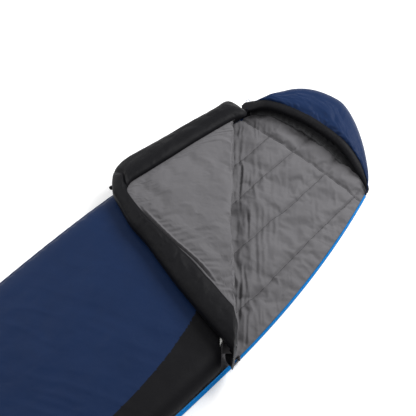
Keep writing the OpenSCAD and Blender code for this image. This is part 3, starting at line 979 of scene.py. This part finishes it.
def make_flap_shell():
    """The flap's outer face, navy with a black border; it lies face down when open."""
    line = flap_path(step=0.004)
    line = line[crease_s(line[:, 0], line[:, 1]) > SHELL_BACK]
    xy = flap_fan(line, 0.004, rows=110, front=CREASE_BACK + 0.010)
    x, y = xy[..., 0], xy[..., 1]
    d = line_distance(x, y, line[::3])
    z = TOP_Z - 0.0015 * bump(d, 0.01) - 0.0009 * (1 + rough(x, y, 0.09, 81)) * smooth(0, 0.05, d)
    piece = grid("flap_outer_shell", droop(fold(at_height(xy, z))), NAVY)
    cx, cy = centres(x), centres(y)
    paint(piece, [BLACK], (cx > border_left(cy)) | (cy > TOP_NECK_Y - BAND_W))
    thicken(piece, 0.001, 1)
    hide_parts("flap_shell", "flap_border")
    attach(piece, "flap")
    fill_xy = flap_fan(line[line[:, 0] > -0.20][::2], -0.030, rows=36,
                       front=CREASE_BACK + 0.02, until=0.84)
    low, high = (droop(fold(at_height(fill_xy, z))) for z in (TOP_LOW + 0.014, TOP_Z - 0.009))
    filling("flap_filling", low, high, "flap_fill", "flap")


def make_neck_gusset():
    """Black cloth between the bag's closed side and the collar's end."""
    ys = np.linspace(0.705, 0.806, 30)
    side = np.stack([-side_x(ys, SIDE_R), ys], -1)
    inward = normals_of(side)
    tall = 0.004 + 0.021 * smooth(0.705, 0.735, ys) + 0.021 * smooth(0.748, 0.764, ys)
    tall = tall - 0.016 * smooth(0.785, 0.803, ys)
    rows = []
    for t in np.linspace(0, 1, 12):
        lean = 0.006 + 0.004 * math.sin(math.pi * t) + 0.0008 * noise(ys, 0 * ys + t, 0.02, 141)
        rows.append(moved(side, inward, lean, 0.033 + tall * t))
    gusset = grid("neck_gusset", np.array(rows), BLACK)
    thicken(gusset, 0.0012)
    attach(gusset, "bag")


def make_crease_strip():
    """The outer shell's strip across the crease; it lies folded while the flap is open."""
    f = np.linspace(0.02, 0.98, 160)[:, None]
    line = CREASE_ZIP + (CREASE_SIDE - CREASE_ZIP) * f
    rows = []
    for back, z in ((0.055, -0.0012), (0.034, -0.0011), (0.034, 0.0011), (0.055, 0.0012)):
        xy = line - ACROSS * back
        sides = 0.008 - side_x(xy[:, 1], SIDE_R), side_x(xy[:, 1], ZIP_R) - 0.004
        xy[:, 0] = np.clip(xy[:, 0], *sides)
        rows.append(np.column_stack([xy, np.full(len(xy), HINGE_Z + z)]))
    strip = grid("crease_strip", np.array(rows), NAVY)
    middle = centres(np.array(rows))
    paint(strip, [BLACK], middle[..., 0] > border_left(middle[..., 1]))
    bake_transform(strip)


make_bands()
make_flap_lining()
make_flap_shell()
make_crease_strip()
make_neck_gusset()


# ---- hood ----
TRIM_TOP = (-0.07, 0.888)
TRIM_MIDDLE = np.vstack([
    bezier([(0.277, 0.796), (0.215, 0.857), (0.05, 0.888), TRIM_TOP]),
    bezier([TRIM_TOP, (-0.17, 0.888), (-0.283, 0.846), (-0.332, 0.800)])[1:]])


def evenly(line, count):
    line = resample(line, 0.001)
    return line[np.linspace(0, len(line) - 1, count).astype(int)]


def hood_frame(count=150):
    """Along the hood from the zip side: its edge, unit vectors inward, the trim's middle,
    half the trim's width, and how much of its full height the hood has there."""
    ys = np.linspace(0.786, NECK_Y, 6)[:-1]
    right = np.stack([side_x(ys, ZIP_R), ys], -1)
    left = np.stack([-side_x(ys, SIDE_R), ys], -1)[::-1]
    edge = evenly(np.vstack([right, HOOD_CURVE, left]), count)
    trim = evenly(TRIM_MIDDLE, count)
    f = np.linspace(0, 1, count)
    half = 0.006 + 0.012 * smooth(0.0, 0.18, f) + 0.003 * smooth(0.3, 0.8, f)
    half = half + 0.006 * smooth(0.80, 0.95, f)
    full = smooth(-0.02, 0.17, 1 - f) * smooth(-0.06, 0.36, f)
    return edge, normals_of(edge) * -1, trim, half, full, f


def hood_height(w, f):
    """Top of the hood along its edge: low where it leaves the neck."""
    zip_end = 0.030 + 0.066 * w
    side_end = 0.060 + 0.036 * w
    return zip_end + (side_end - zip_end) * smooth(0.35, 0.65, f)


def toward_trim(edge, trim, half):
    """Unit vectors from the hood's edge to its trim, and how far it is to the trim."""
    reach = np.linalg.norm(trim - edge, axis=1)
    return (trim - edge) / reach[:, None], np.maximum(reach - 0.75 * half, 0.004)


def bend_hood(piece):
    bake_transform(piece)


def make_hood_shell():
    edge, inward, trim, half, w, f = hood_frame(190)
    top = hood_height(w, f)
    mid = top * 0.42
    over, gap = toward_trim(edge, trim, half)
    reach = np.minimum(0.065, gap * 0.6)
    rows = []
    for a in np.linspace(-math.pi / 2, 0, 9)[:-1]:
        d = 0.030 * (1 - math.cos(a))
        rows.append(moved(edge, inward, d, mid + (mid - 0.0015) * math.sin(a)))
    for a in np.linspace(0, math.pi / 2, 16)[:-1]:
        d = reach * (1 - math.cos(a))
        rows.append(moved(edge, over, d, mid + (top - mid) * math.sin(a)))
    for t in np.linspace(0, 1, 44):
        d = reach + (gap - reach) * t
        crown = 0.005 * math.sin(math.pi * min(t * 1.2, 1)) - 0.009 * smooth(0.78, 1, t)
        rows.append(moved(edge, over, d, top + crown * w))
    p = np.array(rows)
    k = np.linspace(0, 1, len(rows))[:, None]
    g = f[None, :] + 0 * k
    soft = smooth(0.15, 0.4, k) * smooth(1.0, 0.9, k)
    folds = 0.0045 * rough(g * 1.1 + 0.25 * k, k * 0.35, 0.085, 91)
    gathers = np.sin(g * 150 + 5 * noise(g, k * 0.4, 0.07, 92))
    gathers = gathers * (0.6 + 0.4 * noise(g, k, 0.05, 93))
    p[..., 2] += soft * w * folds + 0.0018 * gathers * smooth(0.72, 0.92, k) * w
    shell = grid("hood_shell", p, NAVY)
    thicken(shell, 0.001, 1)
    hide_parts("hood_wall_shell", "brim_shell")
    bend_hood(shell)


def make_hood_lining():
    """Inside of the hood: up its wall, forward under the brim, and out below the trim, where its
    black hem and the lighter grey steps on it are partly painted shadow of the trim.
    """
    edge, inward, trim, half, w, f = hood_frame(220)
    top = hood_height(w, f) - 0.004 - 0.016 * smooth(0.99, 0.92, f)
    floor = np.minimum(0.0265, top - 0.004)
    mid = (top + floor) / 2
    over, gap = toward_trim(edge, trim, half)
    rows = []
    for d in np.linspace(0.085, 0.045, 6):
        rows.append(moved(edge, inward, d * smooth(-0.02, 0.1, w), floor))
    for a in np.linspace(-math.pi / 2, 0, 8)[:-1]:
        d = (0.016 + 0.029 * (1 - math.cos(a))) * (0.3 + 0.7 * w)
        rows.append(moved(edge, inward, d, mid + (mid - floor) * math.sin(a)))
    for a in np.linspace(0, math.pi / 2, 10)[:-1]:
        d = np.minimum(0.016 + 0.03 * (1 - math.cos(a)), gap * 0.6)
        rows.append(moved(edge, over, d, mid + (top - mid) * math.sin(a)))
    start = np.minimum(0.046, gap * 0.6)
    for t in np.linspace(0, 1, 20):
        d = start + (gap + half - start) * t
        rows.append(moved(edge, over, d, top + 0.002 * t))
    # The black hem hanging out below the trim is partly the lining's facing and partly painted
    # shadow of the trim; its length varies along the trim.
    front = normals_of(trim) * -1
    ragged = 0.75 + 0.25 * waver(f, 0.05, 96) + 0.15 * waver(f, 0.015, 97)
    hem = 0.010 + 0.026 * ragged * smooth(0.04, 0.22, f) * smooth(0.90, 0.50, f)
    for t in np.linspace(0.1, 1, 14):
        d = half * 0.4 + hem * t * smooth(0.0, 0.5, w)
        z = top - (0.002 + 0.030 * t * t) * smooth(0.0, 0.5, w)
        rows.append(moved(trim, front, d, z))
    p = np.array(rows)
    k = np.linspace(0, 1, len(rows))[:, None]
    g = f[None, :] + 0 * k
    gathers = np.sin(g * 120 + 5 * noise(g, k, 0.1, 95)) * (0.6 + 0.4 * noise(g, k, 0.06, 98))
    p[..., 2] += 0.003 * gathers * smooth(0.1, 0.3, k) * w
    lining = grid("hood_lining", p, DARK)
    # Painted shade: the hem's last rows step to lighter greys, as the soft edge of the trim's
    # shadow.
    step = k * (len(rows) - 1) - (len(rows) - 8) + 1.2 * waver(g, 0.02, 99)
    paint(lining, SHADE_STEPS, np.clip(np.round(step * 0.5), 0, len(SHADE_STEPS))[1:, 1:])
    thicken(lining)
    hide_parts("hood_wall_lining", "brim_lining")
    bend_hood(lining)


def make_hood_trim():
    trim, half, w, f = hood_frame(200)[2:]
    z = hood_height(w, f) - 0.010
    front = normals_of(trim) * -1
    a = np.linspace(0, 2 * math.pi, 30, endpoint=False)
    thick = 0.0145 * (0.45 + 0.55 * w)
    tip = np.sqrt(np.clip(1 - (1 - np.clip(np.minimum(f, 1 - f) / 0.02, 0, 1)) ** 2, 0.02, 1))
    ox = np.cos(a)[None, :] * (half * tip)[:, None]
    oz = np.sign(np.sin(a)) * np.abs(np.sin(a)) ** 0.85 * (thick * tip)[:, None]
    run = f[:, None] * 0.75
    pucker = np.sin(run / 0.0034 + 3 * waver(run, 0.04, 102)) * np.abs(np.cos(a)) ** 2
    dents = 0.0016 * rough(run + 0 * ox, ox * 2, 0.05, 101) + 0.0009 * pucker
    oz = oz + dents * (np.sin(a) > 0.1) * w[:, None]
    xy = trim[:, None] + front[:, None, :] * ox[..., None]
    p = at_height(xy, z[:, None] + oz)
    piece = grid("padded_hood_trim", p, BLACK, loop=True)
    cap_ends(piece, len(trim), len(a))
    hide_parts("hood_trim")
    bend_hood(piece)


def make_hidden_hood_parts():
    edge, inward, trim, half, w, f = hood_frame(80)
    z = hood_height(w, f) - 0.010
    cord = cord_mesh("drawcord_in_trim", np.column_stack([trim, z])[3:-3], CORD_D, CORD)
    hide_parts("hood_drawcord")
    bend_hood(cord)
    edge, inward, trim, half, w, f = (part[6:-6] for part in (edge, inward, trim, half, w, f))
    top = hood_height(w, f)
    over, gap = toward_trim(edge, trim, half)
    outer = [moved(edge, over, gap * 0.2, top * 0.5)]
    for t in np.linspace(0.4, 0.9, 5):
        outer.append(moved(edge, over, gap * t, top - 0.013))
    outer = np.stack(outer, 1)
    filling("hood_filling", outer - [0, 0, 0.004], outer, "brim_fill", "hood_brim")
    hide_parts("hood_wall_fill")


make_hood_shell()
make_hood_lining()
make_hood_trim()
make_hidden_hood_parts()


# ---- inside of the top panel ----
def make_top_inside():
    ys = np.linspace(FOOT_Y + 0.004, 0.745, 90)
    u = np.linspace(0, 1, 40)
    left = edge_at(ys, -1)[:, None] + 0.004
    crease = behind_crease(ys[:, None], CREASE_BACK + 0.022)
    right = np.maximum(np.minimum(edge_at(ys, 1)[:, None] - 0.005, crease), left + 0.001)
    x, y = spread(ys, left, right, u)
    d = line_distance(x, y, EDGE)
    inside = smooth(0, 0.06, d)
    z = SEAM_Z + 0.002 + (TOP_LOW - SEAM_Z) * inside + 0.002 * rough(x, y, 0.08, 111) * inside
    lining = grid("top_inner_lining", np.stack([x, y, z], -1)[:, ::-1], GREY)
    thicken(lining)
    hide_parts("top_lining")
    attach(lining, "bag")
    cut = (slice(2, -2, 3), slice(4, -4, 3))
    xs, yy, dd = x[cut], y[cut], d[cut]
    low = np.stack([xs, yy, z[cut] + 0.004], -1)
    high = np.stack([xs, yy, np.maximum(top_z(xs, yy, dd) - 0.007, z[cut] + 0.005)], -1)
    filling("top_filling", low, high, "top_fill", "bag")


make_top_inside()


# ---- zip ----
def bead_faces(count, around):
    """Faces of small closed beads, each of four rings with this many points around."""
    faces = []
    for base in range(0, 4 * around * count, 4 * around):
        for b in range(base, base + 3 * around, around):
            for j in range(around):
                e = (j + 1) % around
                faces.append((b + j, b + e, b + around + e, b + around + j))
        faces.append(tuple(base + j for j in reversed(range(around))))
        faces.append(tuple(base + 3 * around + j for j in range(around)))
    return faces


def zip_line(y0, y1, o=0.0):
    """Points and outward normals along the zip edge."""
    ys = np.linspace(y0, y1, max(3, int(abs(y1 - y0) / 0.02)))
    a = side_a(ys, ZIP_R)
    n = np.stack([np.cos(a), np.sin(a)], -1)
    return np.stack([side_x(ys, ZIP_R), ys], -1) + n * o, n


def tape(name, y0, y1, z0, z1, node_name, o=0.0, body="bag", turn=None, lean=0.0):
    line, n = zip_line(y0, y1, o)
    t, mid = 0.0006, (z0 + z1) / 2
    loop = [(lean - t, z0), (lean / 2 - t, mid), (-t, z1), (t, z1), (lean / 2 + t, mid),
            (lean + t, z0)]
    p = np.array([np.column_stack([line + n * a, np.full(len(line), z)]) for a, z in loop])
    p = p.transpose(1, 0, 2)
    piece = grid(name, turn(p) if turn else p, TAPE, loop=True)
    cap_ends(piece, len(line), len(loop))
    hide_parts(node_name)
    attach(piece, body)


COIL_PITCH, COIL_SIZE = 0.0024, 0.0034


def coil(name, y0, y1, z0, node_name, o=0.0, body="bag", turn=None):
    """One side of the zip's coil: a row of small rounded turns."""
    line, n = zip_line(y0, y1, o)
    length = run_of(line)
    at = np.arange(COIL_PITCH / 2, length[-1], COIL_PITCH)
    centre = np.stack([np.interp(at, length, line[:, k]) for k in (0, 1)], -1)
    out = np.stack([np.interp(at, length, n[:, k]) for k in (0, 1)], -1)
    step = np.stack([-out[:, 1], out[:, 0]], -1)
    ring = np.linspace(0, 2 * math.pi, 8, endpoint=False)
    verts = []
    for c, m, s in zip(centre, out, step):
        for side, r in ((-0.42, 0.62), (-0.2, 1.0), (0.2, 1.0), (0.42, 0.62)):
            for a in ring:
                xy = c + s * side * COIL_PITCH + m * math.cos(a) * r * COIL_SIZE / 2
                verts.append((*xy, z0 + COIL_SIZE / 2 + math.sin(a) * r * COIL_SIZE / 2))
    p = np.array(verts)
    piece = mesh(name, turn(p) if turn else p, bead_faces(len(centre), len(ring)), COIL)
    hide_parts(node_name)
    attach(piece, body)


def make_zip():
    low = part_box("zip_tape_bottom")
    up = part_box("zip_tape_top")
    coil_low, coil_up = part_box("zip_coil_bottom"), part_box("zip_coil_top")
    tape("lower_zip_tape", low[0][1], low[1][1], low[0][2], low[1][2], "zip_tape_bottom",
         lean=0.004)
    coil("lower_zip_coil", low[0][1], low[1][1], coil_low[0][2], "zip_coil_bottom")
    tape("upper_zip_tape", up[0][1], up[1][1], up[0][2], up[1][2], "zip_tape_top")
    coil("upper_zip_coil", up[0][1], up[1][1], coil_up[0][2], "zip_coil_top")
    y0, y1 = CREASE_ZIP[1] + 0.012, TOP_NECK_Y - CORNER_R
    tape_z = TOP_LOW + 0.007
    tape("flap_edge_zip_tape", y0, y1, tape_z, tape_z + 0.008, "flap_zip_tape",
         0.0007, "flap", fold)
    coil("flap_edge_zip_coil", y0, y1, tape_z - COIL_SIZE, "flap_zip_coil",
         0.0018, "flap", fold)


make_zip()


# ---- small parts ----
def strap(name, path, side, width, depth, material):
    """A flat strip with rounded edges along a path; side is the way its width runs."""
    path, side = np.asarray(path, float), np.asarray(side, float)
    along = np.gradient(path, axis=0)
    along /= np.linalg.norm(along, axis=1, keepdims=True)
    up = np.cross(side, along)
    a = np.linspace(0, 2 * math.pi, 20, endpoint=False)
    across = np.sign(np.cos(a)) * np.abs(np.cos(a)) ** 0.35 * width / 2
    lift = np.sign(np.sin(a)) * np.abs(np.sin(a)) ** 0.8 * depth / 2
    p = path[:, None] + side * across[None, :, None] + up[:, None] * lift[None, :, None]
    piece = grid(name, p, material, loop=True)
    cap_ends(piece, len(path), len(a))
    return piece


def stitches(path, side, width, lift):
    """Points of a row of stitches round a box of sewing, as small raised bars."""
    bars = []
    for edge in (-0.42, 0.42):
        for p, q in zip(path[:-1], path[1:]):
            shift = side * edge * width
            bars.append((p + shift + lift, p * 0.35 + q * 0.65 + shift + lift))
    return bars


TAB_HINGE = (-0.362804, 0.147257, 0.114)       # middle of the tab's stitched edge
WEBBING_W, THREAD_R = 0.0195, 0.00025          # width of the webbing, radius of its thread


def sew(name, bars, body):
    """Small raised bars of thread, one for each stitch."""
    verts = []
    for a, b in bars:
        d = (b - a) / np.linalg.norm(b - a)
        n = np.cross(d, [0, 0, 1.0])
        n = n / np.linalg.norm(n) if np.linalg.norm(n) > 0.1 else np.array([1.0, 0, 0])
        m = np.cross(d, n)
        for p, r in ((a, 0.4), (a + d * 0.0003, 1), (b - d * 0.0003, 1), (b, 0.4)):
            for k in range(6):
                t = k * math.pi / 3
                verts.append(p + (n * math.cos(t) + m * math.sin(t)) * THREAD_R * r)
    piece = mesh(name, verts, bead_faces(len(bars), 6), THREAD)
    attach(piece, body)


def make_hang_loops():
    low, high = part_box("hang_loops")
    mid_z, back = (low[2] + high[2]) / 2, high[1] + 0.004
    r = (high[2] - low[2]) / 2 - 0.001
    a = np.linspace(math.pi / 2, math.pi * 1.5, 14)
    bend = np.stack([low[1] + 0.0012 + r + r * np.cos(a), mid_z + r * np.sin(a)], -1)
    out = np.linspace(back, low[1] + 0.0012 + r, 8)
    profile = np.vstack([np.stack([out, 0 * out + mid_z + r], -1), bend[1:-1],
                         np.stack([out[::-1], 0 * out + mid_z - r], -1)])
    loops, bars = [], []
    for x in (-0.15, 0.15):
        path = np.column_stack([np.full(len(profile), x), profile])
        loops.append(strap("hang_loop", path, (1, 0, 0), WEBBING_W, 0.0018, WEBBING))
        sewn = np.linspace([x - 0.008, -1.0775, 0], [x + 0.008, -1.0775, 0], 8)
        sewn[:, 2] = mid_z + r + 0.0011
        bars += [(p, p * 0.4 + q * 0.6) for p, q in zip(sewn[:-1], sewn[1:])]
    piece = joined("webbing_hang_loops", loops)
    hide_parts("hang_loops")
    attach(piece, "bag")
    sew("hang_loop_stitches", bars, "bag")


def make_closure_tab():
    hinge = np.array(TAB_HINGE)
    out, side = np.array([-0.3934, -0.9194, 0]), np.array([0.9194, -0.3934, 0])
    at = np.concatenate([np.linspace(0.0008, 0.020, 10),
                         0.020 + 0.0046 * np.sin(np.linspace(0.15, 1.57, 8))])
    path = hinge + at[:, None] * out
    tab = strap("webbing_closure_tab", path, side, WEBBING_W, 0.0017, WEBBING)
    co = points_of(tab)
    along, wide = (co - hinge) @ out, (co - hinge) @ side
    pull_in = np.clip((along - 0.018) / 0.007, 0, 1) ** 2 * 0.55
    co -= (wide * pull_in)[:, None] * side
    tab.data.vertices.foreach_set("co", co.reshape(-1))
    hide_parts("closure_tab")
    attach(tab, "closure_tab")
    seam = hinge + np.linspace(0.004, 0.018, 8)[:, None] * out
    sew("closure_tab_stitches", stitches(seam, side, WEBBING_W, np.array([0, 0, 0.0009])),
        "closure_tab")


def make_spring():
    low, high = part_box("cord_lock_spring")
    r, wire = (high[0] - low[0]) / 2 - 0.0006, 0.0006
    t = np.linspace(0, 1, 150)
    a = t * 2 * math.pi * 5
    centre = [(p + q) / 2 for p, q in zip(low, high)]
    z = low[2] + wire + (high[2] - low[2] - 2 * wire) * t
    line = np.column_stack([centre[0] + r * np.cos(a), centre[1] + r * np.sin(a), z])
    spring = cord_mesh("coiled_lock_spring", line, wire, STEEL)
    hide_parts("cord_lock_spring")
    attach(spring, "bag")
    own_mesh(spring)


THREAD = cloth_material("black thread", (0.02, 0.02, 0.022), 0.6, 0.0004, 0.4, 0.1)
make_hang_loops()
make_closure_tab()
make_spring()
for cad_name, cad_material in (("slider_body", ZIP_METAL), ("slider_pull", ZIP_METAL),
                               ("zip_stops", ZIP_METAL), ("closure_hook_pad", HOOKS),
                               ("cord_lock_anchor", WEBBING), ("cord_lock_barrel", PLASTIC),
                               ("cord_lock_button", PLASTIC)):
    for cad_slot in bpy.data.objects[cad_name].material_slots:
        cad_slot.material = cad_material


# ---- floor and light ----
FLOOR_HALF, FLOOR_GLOW, WORLD_GLOW = 9.0, 0.30, 0.54
SOFTBOXES = (((0.6, 2.7, 2.4), 1.7, 112.0), ((-2.3, 0.2, 1.9), 1.6, 24.0))   # place, size, watts


def make_stage():
    corners = np.array([[[x, y, 0] for x in (-FLOOR_HALF, FLOOR_HALF)]
                        for y in (-FLOOR_HALF, FLOOR_HALF)])
    pale = new_material("pale floor", (0.88, 0.88, 0.88), 0.9, Emission_Strength=FLOOR_GLOW,
                        Emission_Color=(1, 1, 1, 1))
    floor = grid("floor", corners, pale)
    world = bpy.data.worlds.new("studio")
    world.use_nodes = True
    sky = world.node_tree.nodes["Background"].inputs
    sky["Color"].default_value, sky["Strength"].default_value = (1, 1, 1, 1), WORLD_GLOW
    bpy.context.scene.world = world
    for place, size, power in SOFTBOXES:
        data = bpy.data.lights.new("softbox", "AREA")
        data.size, data.energy = size, power
        lamp = add_object("softbox", data)
        lamp.location = place
        aim = Vector((0, 0.2, 0)) - Vector(place)
        lamp.rotation_euler = aim.to_track_quat("-Z", "Y").to_euler()


make_stage()
bpy.context.scene.view_settings.view_transform = "Standard"
